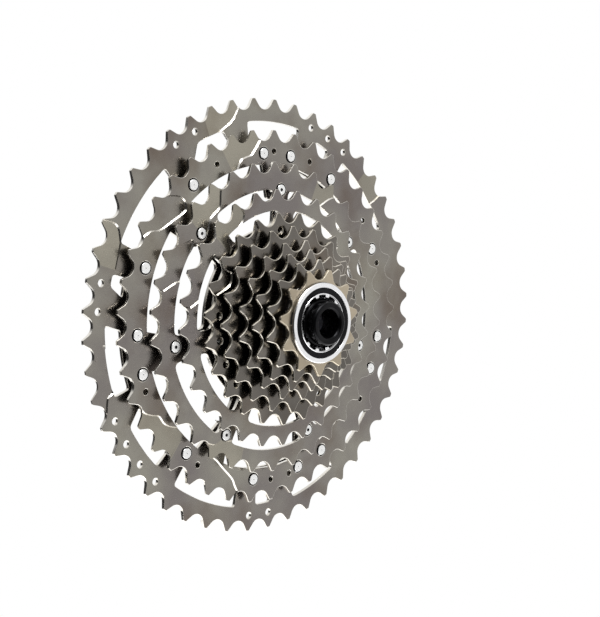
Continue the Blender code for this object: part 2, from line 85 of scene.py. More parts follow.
ARM_WINDOW_CORNER = 2.8 * MM
HUB_DISC_34 = 41.0 * MM
RING_34 = [57.2, 57.4, 57.2, 59.3, 59.5, 58.0, 59.5]  # outer edge of each window in mm
TRIM_34 = {1: (0, 6.3), 3: (2.5, 0)}  # windows that start later or end earlier, in degrees
HUB_DISC_28 = 40.0 * MM
RING_28 = [48.3] * ARMS
HUB_BOSS_RADIUS = 21.5 * MM
BOSS_OVERLAP = 0.2 * MM  # how far it reaches into the plate
BOSS_GAP = 0.3 * MM  # what it leaves free in front of it
OUTER_RIVETS = [22.6, 57, 78.8, 91.7, 125.6, 159.8, 182, 195.2, 229.5, 262.9, 284.8, 297.5, 336.3, 348.7]
OUTER_RIVET_CIRCLE = 73.5 * MM
MIDDLE_RIVET_CIRCLE = 57.4 * MM
INNER_RIVET_CIRCLE = 36.5 * MM
RIVET_HEAD = 2.35 * MM
RIVET_RECESS = 2.95 * MM  # hole round the head, in the outboard plate
RIVET_HOLE = 1.7 * MM  # hole in the plate behind
RIVET_SHANK = 1.4 * MM
RIVET_SHOULDER = 2.7 * MM
RIVET_TAIL = 2.3 * MM
PIN_HOLES = {  # small holes under the teeth: circle radius, hole radius and which teeth
    48: (90.9 * MM, 1.5 * MM, [7, 8, 9, 15, 16, 22, 23, 27, 28, 29, 30, 35, 36]),
    41: (74.5 * MM, 1.35 * MM, [1, 3, 7, 9, 12, 22, 26, 30, 31, 36]),
    23: (39.8 * MM, 1.5 * MM, [6, 11, 12, 13, 14, 19, 20]),
}

# Shift ramps: (angle, radius in mm) along the step, and the angles where the floor runs out, at
# the outer and the inner end. A ramp without a run-out is a pocket, open towards the teeth.
RAMP_DEPTH = 0.65 * MM
RAMP_DRAFT = 0.5 * MM  # width of the sloped step
RAMP_END_DEPTH = 0.02 * MM  # depth where a floor runs out
RAMP_TAIL = 1.0 * MM  # how far inside the step a floor runs out
RAMP_BEYOND = 5.0 * MM  # how far a cutter reaches past the pitch circle
RAMP_ABOVE = 0.6 * MM  # and in front of the plate
RAMPS = {
    48: [([(97.5, 95.1), (99, 91.9), (101.1, 88.7), (105.9, 86)], (110.5, 110.5)),
         ([(152, 98.5), (151.3, 92.5), (152.2, 89.3), (155.2, 86)], (163, 163)),
         ([(187.3, 92.6), (184, 87.2), (196.5, 86.5), (198.4, 90.2), (201.9, 93)], None),
         ([(34.5, 90), (34.8, 86)], (44, 44))],
    41: [([(92.8, 79.2), (95.1, 75.6), (97.2, 73.1), (100.2, 72.4), (102.3, 71.7), (105, 68)],
          (110.7, 107.4)),
         ([(204.7, 79.2), (207, 78.4), (209.5, 75.3), (211.3, 72.8), (215.5, 72.1), (220.4, 68)],
          (226, 224)),
         ([(135.3, 78.9), (132.9, 75.6), (131.7, 72.4), (132.3, 69.2), (134.4, 67.6), (141, 70.1),
           (146.1, 73.1), (148.5, 77.1), (151.2, 79.2)], None),
         ([(241.7, 77.4), (239, 73.1), (239.3, 69.2), (242.6, 68.1), (248, 70.6), (253.2, 73.9),
           (255, 76.7), (256.5, 78.9)], None)],
    34: [([(232.6, 65.1), (236.5, 63.4), (239, 59.9), (242.9, 58.9), (246.9, 57)], (252, 252)),
         ([(50.8, 65.5), (55.1, 64.5), (60.1, 56.5)], (66, 66)),
         ([(118, 65), (119, 63.4), (122.2, 58.9), (128.6, 58.2), (133, 55.5)], (137, 137)),
         ([(147.6, 63.4), (144.4, 61.7), (142.6, 58.2), (159, 56.6), (161.5, 58.9), (166.2, 64.4)], None)],
    28: [([(114, 51.2), (117.1, 48.7), (125.2, 46.4), (131, 43)], (135, 135)),
         ([(149.5, 51.5), (144.9, 50.4), (142.5, 47.6), (164.5, 46.8), (167.5, 48.1), (171.3, 52.1)], None)],
    23: [([(112, 42.4), (115, 40.2), (118.7, 37.5)], (124, 124)),
         ([(146, 41.6), (145.8, 38.7), (153.3, 37.2), (162.4, 42.5)], None)],
}

SPLINES = 9
SPLINE_TIP = 17.25 * MM
SPLINE_ROOT = 16.2 * MM
SPLINE_HALF_ANGLE = 8.5
WIDE_HALF_ANGLE = 11.5  # of the one wide spline, at the top
SPLINE_PLAY = 0.25 * MM  # room round the splines in a bore
SPLINE_PLAY_ANGLE = 0.9

NOTCHES = 12  # for the lockring tool
NOTCH_ROOT = 12.25 * MM
NOTCH_TIP = 11.2 * MM
LOCKRING_BORE = 12.6 * MM
LOCKRING_THREAD = 14.9 * MM
WASHER_BORE = 15.3 * MM

CAP_NOSE = 9.5 * MM
CAP_NOSE_LENGTH = 5.0 * MM
CAP_BORE = 6.15 * MM
CAP_SKIRT = 7.6 * MM  # inside radius of its skirt
CAP_SKIRT_DEPTH = 3.0 * MM
CAP_LEAD = 8.9 * MM
O_RING_PLACE = 3.9 * MM  # from the cap's inboard end
O_RING_WIRE = 0.5 * MM
GROOVE_DEPTH = 1.2 * MM
GROOVE_HALF_WIDTH = 0.8 * MM

BALL_RADIUS = 1.19 * MM
BALL_CIRCLE = 9.75 * MM
BALL_CLEARANCE = 0.15 * MM
RACE_LAND = 0.75 * MM  # from the ball circle to the lip of either race
SLEEVE_SEAT = 7.5 * MM
RACE_BODIES = {"outer_race": "driver", "inner_race": "axle_stack"}

OIL = (0.115, 0.075, 0.045)
PLATES = {  # name, dark tone, light tone, roughness, amount of oil stains
    "nickel": ("nickel_face", (0.212, 0.192, 0.183), (0.305, 0.290, 0.250), 0.27, 0.6),
    # Edge finishes are much lighter than the faces: a painted highlight on every broken edge, wall and ramp
    # step.
    "edge": ("nickel_edge_painted_highlight", (0.74, 0.71, 0.65), (0.90, 0.87, 0.81), 0.22, 0.1),
    # A lighter copy of the face: painted light on the tilted floors where a ramp runs out.
    "ramp_floor_painted_light": ("ramp_floor_painted_light", (0.290, 0.270, 0.225), (0.37, 0.345, 0.285), 0.3, 0.35),
    # Darker faces for the sprockets below 28 teeth: painted shade of the narrow gaps between them.
    "small_sprocket_painted_shade": ("small_sprocket_face_painted_shade", (0.13, 0.119, 0.106), (0.21, 0.194, 0.173), 0.2, 0.5),
    # Painted highlight on the edges of the sprockets below 28 teeth.
    "small_sprocket_edge_painted_highlight": ("small_sprocket_edge_painted_highlight", (0.62, 0.58, 0.50), (0.85, 0.80, 0.71), 0.2, 0.1),
    "tinted": ("tinted_face", (0.42, 0.36, 0.27), (0.52, 0.45, 0.34), 0.38, 0.3),
    # Painted highlight on the edges of the smallest sprocket.
    "tinted_edge_painted_highlight": ("tinted_edge_painted_highlight", (0.62, 0.55, 0.43), (0.74, 0.67, 0.54), 0.28, 0.1),
}
TURNED_METALS = {  # name, dark tone, light tone, roughness, metallic, scale of the turning lines
    "rivet": ("rivet_head", (0.93, 0.93, 0.92), (0.97, 0.97, 0.96), 0.26, 0.7, 1500),
    "silver": ("lockring_silver", (0.86, 0.86, 0.87), (0.93, 0.93, 0.94), 0.2, 1.0, 700),
    "black": ("anodised_black", (0.005, 0.005, 0.006), (0.012, 0.012, 0.013), 0.3, 0.88, 500),
    # Near black of the spacers, also painted on the rivets as shade round and in their heads.
    "alloy": ("spacer_black_and_rivet_painted_shade", (0.018, 0.018, 0.019), (0.035, 0.035, 0.037), 0.42, 0.7, 500),
    "body": ("body_alloy", (0.38, 0.38, 0.40), (0.48, 0.48, 0.50), 0.32, 1.0, 400),
    "race": ("bearing_race", (0.62, 0.62, 0.63), (0.72, 0.72, 0.73), 0.14, 1.0, 600),
}

CAMERA_AZIMUTH = -43.727
CAMERA_ELEVATION = 5.47
CAMERA_OFFSET = (0.01806, 0.00352, 0.6635)  # to its right, up and back from the largest sprocket
CAMERA_LENS = 85.36
FLOOR_RADIUS = 0.42
FLOOR_HEIGHT = -0.32


# ---------------------------------------------------------------- plane geometry

def polar(radius, degrees):
    angle = math.radians(degrees)
    return Vector((radius * math.cos(angle), radius * math.sin(angle)))


def circle(radius, sides, centre=(0.0, 0.0)):
    centre = Vector(centre)
    return [centre + polar(radius, 360 * i / sides) for i in range(sides)]


def pitch_radius(teeth):
    return CHAIN_PITCH / (2 * math.sin(math.pi / teeth))


def curve_points(start, control, end, steps):
    """A quadratic curve, without its end point."""
    points = []
    for i in range(steps):
        t = i / steps
        points.append(start * (1 - t) ** 2 + control * 2 * t * (1 - t) + end * t ** 2)
    return points


def tooth_outline(teeth, phase):
    """Round roller seats, straight flanks and narrow flat tips with eased corners."""
    radius = pitch_radius(teeth)
    tip = radius + TIP_HEIGHT
    half_tip = math.degrees(TIP_WIDTH / 2 / tip)
    steps = 12
    points = []
    corners = []
    for i in range(teeth):
        tooth = phase + 360 * i / teeth
        gap = tooth + 180 / teeth
        corners += [len(points), len(points) + 1]
        points += [polar(tip, tooth - half_tip), polar(tip, tooth + half_tip)]
        centre = polar(radius - SEAT_DEPTH + SEAT_RADIUS, gap)
        for k in range(steps + 1):
            turn = SEAT_TURN * (2 * k / steps - 1)
            points.append(centre + polar(SEAT_RADIUS, gap + 180 - turn))
    return round_corners(points, corners, TIP_ROUND, 3)


def arc(radius, start, end, steps):
    return [polar(radius, start + (end - start) * i / steps) for i in range(steps + 1)]


def window(start_in, end_in, start_out, end_out, inner, outer):
    """A window between two radii, given by the angles of its four corners, with round corners."""
    steps = 14
    loop = arc(inner, start_in, end_in, steps) + arc(outer, end_out, start_out, steps)
    return round_corners(loop, (0, steps, steps + 1, 2 * steps + 1), WINDOW_CORNER_48)


def arm_angles():
    return [ARM_PHASE + 360 * i / ARMS for i in range(ARMS)]


def arm_windows(inner, outer_edges, trims):
    """Openings between arms of constant width, with round corners; trims make some shorter."""
    openings = []
    steps = 22
    for number, (angle, edge) in enumerate(zip(arm_angles(), outer_edges)):
        outer = edge * MM
        half_in = math.degrees(ARM_WIDTH / 2 / inner)
        half_out = math.degrees(ARM_WIDTH / 2 / outer)
        later, earlier = trims.get(number, (0, 0))
        start, end = angle + later, angle + 360 / ARMS - earlier
        loop = arc(inner, start + half_in, end - half_in, steps)
        loop += arc(outer, end - half_out, start + half_out, steps)
        openings.append(round_corners(loop, (0, steps, steps + 1, 2 * steps + 1), ARM_WINDOW_CORNER))
    return openings


def round_corners(points, corners, size, steps=5):
    """Replaces the numbered corners of a loop with short curves."""
    result = []
    count = len(points)
    for i, p in enumerate(points):
        if i not in corners:
            near = [c for c in corners if min(abs(c - i), count - abs(c - i)) < 8]
            if all((p - points[c]).length > size for c in near):
                result.append(p)
            continue
        before = p + (points[i - 1] - p).normalized() * size
        after = p + (points[(i + 1) % count] - p).normalized() * size
        result += curve_points(before, p, after, steps) + [after]
    return result


def lug_edge():
    """Inner edge of the second ring, with a lug at each arm."""
    half = math.degrees(ARM_WIDTH / 2 / LUG_INNER_41)
    half_ring = math.degrees(ARM_WIDTH / 2 / INNER_41) + LUG_SHOULDER
    points = []
    for angle in arm_angles():
        foot = [polar(LUG_INNER_41, angle - half), polar(LUG_INNER_41, angle + half)]
        start, end = angle + half_ring, angle + 360 / ARMS - half_ring
        ring = arc(INNER_41, start, end, 22)
        lug = round_corners([ring[-1], *foot, ring[0]], (1, 2), LUG_CORNER)
        points += lug[1:-1] + ring
    return points


def spline_outline(root, tip, margin, steps=4):
    points = []
    for i in range(SPLINES):
        middle = 90 + 360 * i / SPLINES
        half = (WIDE_HALF_ANGLE if i == 0 else SPLINE_HALF_ANGLE) + margin
        next_half = SPLINE_HALF_ANGLE + margin if i < SPLINES - 1 else WIDE_HALF_ANGLE + margin
        points += [polar(tip, middle - half + 2 * half * k / steps) for k in range(steps + 1)]
        start, end = middle + half, middle + 360 / SPLINES - next_half
        points += arc(root, start, end, steps)
    return points


def spline_bore():
    return spline_outline(SPLINE_ROOT + SPLINE_PLAY, SPLINE_TIP + SPLINE_PLAY, SPLINE_PLAY_ANGLE)


# ---------------------------------------------------------------- meshes

def area(loop):
    return sum(a.x * b.y - b.x * a.y for a, b in zip(loop, loop[1:] + loop[:1])) / 2


def inset(loop, width):
    """Moves a loop towards its left by a width; corners are limited so that none spikes."""
    result = []
    count = len(loop)
    for i, p in enumerate(loop):
        back = (p - loop[i - 1]).normalized()
        ahead = (loop[(i + 1) % count] - p).normalized()
        along = back + ahead
        along = along.normalized() if along.length > 1e-6 else ahead
        normal = Vector((-along.y, along.x))
        cosine = max(0.5, normal.dot(Vector((-ahead.y, ahead.x))))
        result.append(p + normal * width / cosine)
    return result


def clean(loop):
    """Drops points that lie on the one before."""
    return [p for i, p in enumerate(loop) if (p - loop[i - 1]).length > 0.02 * MM]


def finish_mesh(name, bm, materials, sharp=32):
    bmesh.ops.recalc_face_normals(bm, faces=bm.faces)
    mesh = bpy.data.meshes.new(name)
    bm.to_mesh(mesh)
    bm.free()
    for material in materials:
        mesh.materials.append(material)
    mesh.shade_smooth()
    mesh.set_sharp_from_angle(angle=math.radians(sharp))
    obj = bpy.data.objects.new(name, mesh)
    bpy.context.scene.collection.objects.link(obj)
    return obj


def plate(name, loops, s_from, s_to, materials, edge=EDGE):
    """A flat plate with broken edges. Slot 0 is its faces, and slot 1 its edges and walls, which the
    sprockets and the boss give a much lighter finish as a painted highlight.
    """
    bm = bmesh.new()
    caps = {True: [], False: []}
    for number, raw in enumerate(loops):
        loop = clean(raw)
        if (area(loop) > 0) != (number == 0):
            loop = loop[::-1]
        face, bend = inset(loop, edge), inset(loop, edge * 0.3)
        rows = [
            (face, s_to), (bend, s_to - edge * 0.3), (loop, s_to - edge),
            (loop, s_from + edge), (bend, s_from + edge * 0.3), (face, s_from),
        ]
        rings = [[bm.verts.new((p.x, -s, p.y)) for p in points] for points, s in rows]
        for first, second in zip(rings, rings[1:]):
            for i in range(len(loop)):
                j = (i + 1) % len(loop)
                bm.faces.new((first[i], first[j], second[j], second[i])).material_index = 1
        caps[True].append(rings[0])
        caps[False].append(rings[-1])
    for rings in caps.values():
        edges = []
        for verts in rings:
            edges += [bm.edges.get((verts[i - 1], verts[i])) for i in range(len(verts))]
        bmesh.ops.triangle_fill(bm, edges=edges, use_beauty=True)
    return finish_mesh(name, bm, materials, PLATE_SHARP)


def turned(name, profile, materials, sides=96, bands=None, centre=(0.0, 0.0)):
    """A solid turned about Y from a closed loop of (radius, s); bands gives each stretch's material."""
    bm = bmesh.new()
    rings = []
    for radius, s in profile:
        if radius == 0:
            rings.append([bm.verts.new((centre[0], -s, centre[1]))])
        else:
            rings.append([bm.verts.new((p.x, -s, p.y)) for p in circle(radius, sides, centre)])
    for number, (first, second) in enumerate(zip(rings, rings[1:] + rings[:1])):
        if len(first) == 1 and len(second) == 1:
            continue
        for i in range(sides):
            j = (i + 1) % sides
            corners = [first[i % len(first)], first[j % len(first)],
                       second[j % len(second)], second[i % len(second)]]
            face = bm.faces.new(list(dict.fromkeys(corners)))
            face.material_index = bands[number] if bands else 0
    return finish_mesh(name, bm, materials)


def rounded(profile, size, steps=3):
    """Rounds every corner of a closed (radius, s) profile by a size, where its sides are long enough."""
    points = [Vector(p) for p in profile]
    result = []
    for i, p in enumerate(points):
        before, after = points[i - 1] - p, points[(i + 1) % len(points)] - p
        reach = min(size, before.length * 0.45, after.length * 0.45)
        if p.x == 0:
            result.append(p)
            continue
        start, end = p + before.normalized() * reach, p + after.normalized() * reach
        result += curve_points(start, p, end, steps) + [end]
    return [(p.x, p.y) for p in result]


# ---------------------------------------------------------------- materials

def new_material(name):
    material = bpy.data.materials.new(name)
    material.use_nodes = True
    return material, material.node_tree.nodes, material.node_tree.links


def noise(nodes, links, coords, scale, detail, vector=(1, 1, 1)):
    mapping = nodes.new("ShaderNodeMapping")
    mapping.inputs["Scale"].default_value = vector
    links.new(coords, mapping.inputs["Vector"])
    texture = nodes.new("ShaderNodeTexNoise")
    texture.inputs["Scale"].default_value = scale
    texture.inputs["Detail"].default_value = detail
    links.new(mapping.outputs["Vector"], texture.inputs["Vector"])
    return texture.outputs["Fac"]


def ramp(nodes, links, value, stops):
    node = nodes.new("ShaderNodeValToRGB")
    elements = node.color_ramp.elements
    while len(elements) < len(stops):
        elements.new(0.5)
    for element, (place, colour) in zip(elements, stops):
        element.position = place
        element.color = (*colour, 1.0)
    links.new(value, node.inputs["Fac"])
    return node.outputs["Color"]


def grey(value):
    return (value, value, value)


def mix(nodes, links, factor, first, second):
    node = nodes.new("ShaderNodeMix")
    node.data_type = "RGBA"
    links.new(factor, node.inputs["Factor"])
    for socket, source in ((node.inputs["A"], first), (node.inputs["B"], second)):
        if isinstance(source, tuple):
            socket.default_value = (*source, 1.0)
        else:
            links.new(source, socket)
    return node.outputs["Result"]


def bump(nodes, links, height, distance, strength=1.0):
    node = nodes.new("ShaderNodeBump")
    node.inputs["Strength"].default_value = strength
    node.inputs["Distance"].default_value = distance
    links.new(height, node.inputs["Height"])
    return node.outputs["Normal"]


def plated_steel(name, dark, light, roughness, stain_amount):
    """Satin plate over stamped steel: cloudy tone, oil stains, fine scratches and grain."""
    material, nodes, links = new_material(name)
    shader = nodes["Principled BSDF"]
    coords = nodes.new("ShaderNodeTexCoord").outputs["Object"]
    cloud = noise(nodes, links, coords, 24, 5)
    patch = noise(nodes, links, coords, 34, 6)
    grain = noise(nodes, links, coords, 1900, 3)
    scratch = noise(nodes, links, coords, 420, 2, (1, 1, 9))
    tone = ramp(nodes, links, cloud, [(0.38, dark), (0.62, light)])
    where = ramp(nodes, links, patch, [(0.56 - 0.1 * stain_amount, grey(0)), (0.74, grey(stain_amount))])
    colour = mix(nodes, links, where, tone, OIL)
    links.new(colour, shader.inputs["Base Color"])
    rough = ramp(nodes, links, scratch, [(0.3, grey(roughness - 0.07)), (0.7, grey(roughness + 0.08))])
    links.new(rough, shader.inputs["Roughness"])
    links.new(bump(nodes, links, grain, 0.00002, 0.6), shader.inputs["Normal"])
    shader.inputs["Metallic"].default_value = 1.0
    return material


def turned_metal(name, dark, light, roughness, metallic, lines):
    """Lathe-turned metal: fine rings round Y, with a little grain."""
    material, nodes, links = new_material(name)
    shader = nodes["Principled BSDF"]
    coords = nodes.new("ShaderNodeTexCoord").outputs["Object"]
    cloud = noise(nodes, links, coords, 120, 3)
    colour = ramp(nodes, links, cloud, [(0.35, dark), (0.65, light)])
    links.new(colour, shader.inputs["Base Color"])
    wave = nodes.new("ShaderNodeTexWave")
    wave.wave_type = "RINGS"
    wave.rings_direction = "Y"
    wave.inputs["Scale"].default_value = lines
    wave.inputs["Distortion"].default_value = 2.0
    wave.inputs["Detail"].default_value = 2.0
    links.new(coords, wave.inputs["Vector"])
    stops = [(0.0, grey(roughness - 0.05)), (1.0, grey(roughness + 0.06))]
    rough = ramp(nodes, links, wave.outputs["Fac"], stops)
    links.new(rough, shader.inputs["Roughness"])
    links.new(bump(nodes, links, wave.outputs["Fac"], 0.00001, 0.5), shader.inputs["Normal"])
    shader.inputs["Metallic"].default_value = metallic
    return material


def rubber():
    material, nodes, links = new_material("seal_rubber")
    shader = nodes["Principled BSDF"]
    coords = nodes.new("ShaderNodeTexCoord").outputs["Object"]
    dust = noise(nodes, links, coords, 300, 5)
    links.new(ramp(nodes, links, dust, [(0.4, grey(0.012)), (0.7, grey(0.03))]), shader.inputs["Base Color"])
    links.new(ramp(nodes, links, dust, [(0.3, grey(0.6)), (0.7, grey(0.8))]), shader.inputs["Roughness"])
    grain = noise(nodes, links, coords, 1500, 3)
    links.new(bump(nodes, links, grain, 0.00003, 0.5), shader.inputs["Normal"])
    return material


def make_materials():
    made = {key: plated_steel(*values) for key, values in PLATES.items()}
    made.update({key: turned_metal(*values) for key, values in TURNED_METALS.items()})
    made["rubber"] = rubber()
    return made


# ---------------------------------------------------------------- sprockets

def planes(node):
    """The distances outboard of a node's two faces."""
    low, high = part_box(node)
    return -high[1], -low[1]


def sprocket_planes(index):
    largest = planes(f"sprocket_{SPROCKETS[0][0]}t")
    second = planes(f"sprocket_{SPROCKETS[1][0]}t")
    pitch = second[0] - largest[0]
    return largest[0] + pitch * index, largest[1] + pitch * index


def rivet_holes(radius, angles, size):
    return [circle(size, 24, polar(radius, a)) for a in angles]


def sprocket_holes(teeth, phase):
    outer_pair = (OUTER_RIVET_CIRCLE, OUTER_RIVETS)
    middle_pair = (MIDDLE_RIVET_CIRCLE, arm_angles())
    inner_pair = (INNER_RIVET_CIRCLE, arm_angles())
    behind, front = RIVET_HOLE, RIVET_RECESS
    if teeth == 48:
        holes = [circle(INNER_48, 180)]
        holes += [window(*corners, inner * MM, outer * MM) for *corners, inner, outer in WINDOWS_48]
        holes += rivet_holes(*outer_pair, behind)
    elif teeth == 41:
        holes = [lug_edge()] + rivet_holes(*outer_pair, front) + rivet_holes(*middle_pair, behind)
    elif teeth == 34:
        holes = [spline_bore()] + arm_windows(HUB_DISC_34, RING_34, TRIM_34)
        holes += rivet_holes(*middle_pair, front) + rivet_holes(*inner_pair, behind)
    elif teeth == 28:
        holes = [spline_bore()] + arm_windows(HUB_DISC_28, RING_28, {}) + rivet_holes(*inner_pair, front)
    else:
        holes = [spline_bore()]
    if teeth in PIN_HOLES:
        radius, size, numbers = PIN_HOLES[teeth]
        holes += rivet_holes(radius, [phase + 360 * k / teeth for k in numbers], size)
    return holes


def smooth_line(points, steps=4):
    """A smooth curve through the given points."""
    ends = [points[0] * 2 - points[1], *points, points[-1] * 2 - points[-2]]
    result = []
    for before, a, b, after in zip(ends, ends[1:], ends[2:], ends[3:]):
        for i in range(steps):
            t = i / steps
            bend = (before * 2 - a * 5 + b * 4 - after) * t ** 2 + (a * 3 - before - b * 3 + after) * t ** 3
            result.append((a * 2 + (b - before) * t + bend) / 2)
    return result + [points[-1]]


def ramp_outline(teeth, line, run_out):
    """The outline of a recess, with the depth of its floor at each point and each side's material."""
    beyond = pitch_radius(teeth) + RAMP_BEYOND
    step = smooth_line([polar(radius * MM, angle) for angle, radius in line])
    start = polar(beyond, line[0][0])
    if run_out:
        far_out, far_in = run_out
        ends = [polar(line[-1][1] * MM - RAMP_TAIL, far_in), polar(beyond, far_out)]
        end_depth = RAMP_END_DEPTH
    else:
        ends = [polar(beyond, line[-1][0])]
        end_depth = RAMP_DEPTH
    outline = [start] + step + ends
    depths = [RAMP_DEPTH] * (len(step) + 1) + [end_depth] * len(ends)
    # The step walls take slot 1, the lighter edge finish that is a painted highlight.
    slots = [1 if 0 < i < len(step) else ramp_floor_slot(run_out) for i in range(len(outline))]
    if area(outline) < 0:
        outline, depths = outline[::-1], depths[::-1]
        slots = slots[-2::-1] + slots[-1:]
    return outline, depths, slots


def ramp_floor_slot(run_out):
    """A floor that runs out has its own lighter material, painted light on a floor that tilts, and a
    pocket's floor has the plate's.
    """
    return 2 if run_out else 0


def ramp_cutter(teeth, front, line, run_out):
    """Cuts a recess, deep along its step, that runs out at its far side or stays deep."""
    outline, depths, slots = ramp_outline(teeth, line, run_out)
    bottom = inset(outline, RAMP_DRAFT)
    bm = bmesh.new()
    top = [bm.verts.new((p.x, -front - RAMP_ABOVE, p.y)) for p in outline]
    mouth = [bm.verts.new((p.x, -front, p.y)) for p in outline]
    floor = [bm.verts.new((p.x, depth - front, p.y)) for p, depth in zip(bottom, depths)]
    for first, second in ((top, mouth), (mouth, floor)):
        for i in range(len(outline)):
            j = (i + 1) % len(outline)
            bm.faces.new((first[i], first[j], second[j], second[i])).material_index = slots[i]
    for ring, slot in ((top, 0), (floor, ramp_floor_slot(run_out))):
        edges = [bm.edges.get((ring[i - 1], ring[i])) for i in range(len(ring))]
        filled = bmesh.ops.triangle_fill(bm, edges=edges, use_beauty=True)
        for item in filled["geom"]:
            if isinstance(item, bmesh.types.BMFace):
                item.material_index = slot
    return bm


def thin_teeth(obj, teeth, middle):
    """Brings both faces of every tooth together towards its tip."""
    start = pitch_radius(teeth) - TAPER_START
    for vertex in obj.data.vertices:
        x, y, z = vertex.co
        reach = (math.hypot(x, z) - start) / (TIP_HEIGHT + TAPER_START)
        if reach > 0:
            vertex.co.y += TIP_THINNING * reach * (1 if -y > middle else -1)


def cut(obj, cutter):
    modifier = obj.modifiers.new("cut", "BOOLEAN")
    modifier.operation = "DIFFERENCE"
    modifier.object = cutter
    modifier.solver = "EXACT"
    apply_modifiers(obj)
    bpy.data.objects.remove(cutter)


def apply_modifiers(obj):
    graph = bpy.context.evaluated_depsgraph_get()
    mesh = bpy.data.meshes.new_from_object(obj.evaluated_get(graph))
    old = obj.data
    obj.modifiers.clear()
    obj.data = mesh
    bpy.data.meshes.remove(old)


def finish_names(teeth):
    """The materials of a sprocket's faces, of its edges and of the ramp floors that run out. The edges are
    lighter as a painted highlight, the run-out floors lighter as painted light, and the faces below 28 teeth
    darker as painted shade.
    """
    if teeth == 11:
        return "tinted", "tinted_edge_painted_highlight", "tinted"
    # Below 28 teeth the faces are darker, painted shade, and the edges lighter, a painted highlight.
    if teeth < 28:
        return "small_sprocket_painted_shade", "small_sprocket_edge_painted_highlight", "small_sprocket_painted_shade"
    return "nickel", "edge", "ramp_floor_painted_light"


def make_sprocket(index, materials):
    teeth, phase = SPROCKETS[index]
    back, front = sprocket_planes(index)
    finishes = [materials[name] for name in finish_names(teeth)]
    loops = [tooth_outline(teeth, phase)] + sprocket_holes(teeth, phase)
    edge = SMALL_EDGE if teeth < 28 else EDGE
    obj = plate(f"fine_sprocket_{teeth}t", loops, back, front, finishes, edge)
    thin_teeth(obj, teeth, (back + front) / 2)
    for number, values in enumerate(RAMPS.get(teeth, [])):
        cutter_mesh = ramp_cutter(teeth, front, *values)
        cut(obj, finish_mesh(f"ramp_{teeth}_{number}", cutter_mesh, finishes))
    obj.data.shade_smooth()
    obj.data.set_sharp_from_angle(angle=math.radians(PLATE_SHARP))
    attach(obj, "driver")
    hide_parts(f"sprocket_{teeth}t")


def make_hub_boss(materials):
    """The thick splined boss of the 34-tooth sprocket."""
    start, _ = planes("sprocket_34t")
    back, front = sprocket_planes(2)
    next_back, _ = sprocket_planes(3)
    pieces = (
        ("hub_boss_inboard", start, back + BOSS_OVERLAP),
        ("hub_boss_outboard", front - BOSS_OVERLAP, next_back - BOSS_GAP),
    )
    for name, low, high in pieces:
        # Slot 1, the edges and the bore, takes the lighter edge finish: a painted highlight.
        boss = plate(name, [circle(HUB_BOSS_RADIUS, 120), spline_bore()], low, high,
                     [materials["nickel"], materials["edge"]])
        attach(boss, "driver")
        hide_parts("sprocket_34t")


def make_spacers(materials):
    for index in range(3, len(SPROCKETS) - 2):
        node = f"spacer_{SPROCKETS[index][0]}_{SPROCKETS[index + 1][0]}"
        low, high = planes(node)
        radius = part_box(node)[1][0] - 0.02 * MM
        inner = SPLINE_TIP + 0.3 * MM
        groove = (low + high) / 2
        profile = [(inner, low), (radius, low), (radius, groove - 0.3 * MM), (radius - 0.4 * MM, groove),
                   (radius, groove + 0.3 * MM), (radius, high), (inner, high)]
        piece = turned(f"fine_{node}", rounded(profile, 0.15 * MM), [materials["alloy"]])
        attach(piece, "driver")
        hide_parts(node)


def make_rivet(node, radius, angle, first, dimple, materials):
    """Flat polished head in its recess, shoulder between the plates, upset tail behind. The shoulder, the
    side of the head and the centre dimple take the spacers' near black, painted shade that darkens the gap
    round the head.
    """
    inboard, plate_front = sprocket_planes(first)
    outboard_back, outboard = sprocket_planes(first + 1)
    low, high = plate_front + 0.02 * MM, outboard_back - 0.02 * MM
    profile = [
        (0, inboard - 0.55 * MM), (RIVET_TAIL - 0.6 * MM, inboard - 0.55 * MM),
        (RIVET_TAIL, inboard - 0.25 * MM), (RIVET_TAIL, inboard - 0.03 * MM),
        (RIVET_SHANK, inboard - 0.03 * MM), (RIVET_SHANK, low), (RIVET_SHOULDER, low),
        (RIVET_SHOULDER, high), (RIVET_HEAD, high), (RIVET_HEAD, outboard + 0.25 * MM),
        (RIVET_HEAD - 0.15 * MM, outboard + 0.4 * MM), (dimple, outboard + 0.4 * MM),
        (dimple * 0.8, outboard + 0.1 * MM), (0, outboard + 0.1 * MM),
    ]
    # Slot 1 is painted shade: near black on the shoulder, the side of the head and the centre dimple.
    bright, dark = 0, 1
    bands = [bright] * len(profile)
    bands[6:9] = [dark] * 3
    bands[11:13] = [dark] * 2
    piece = turned(f"fine_{node}", profile, [materials["rivet"], materials["alloy"]], 40, bands,
                   centre=polar(radius, angle))
    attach(piece, "driver")
    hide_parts(node)


def make_rivets(materials):
    groups = [
        ("rivet_48_41", OUTER_RIVET_CIRCLE, OUTER_RIVETS, 0, 0.2 * MM),
        ("rivet_41_34", MIDDLE_RIVET_CIRCLE, arm_angles(), 1, 0.75 * MM),
        ("rivet_34_28", INNER_RIVET_CIRCLE, arm_angles(), 2, 0.75 * MM),
    ]
    for name, radius, angles, first, dimple in groups:
        for number, angle in enumerate(angles, 1):
            make_rivet(f"{name}_{number:02d}", radius, angle, first, dimple, materials)


# ---------------------------------------------------------------- lockring and end cap

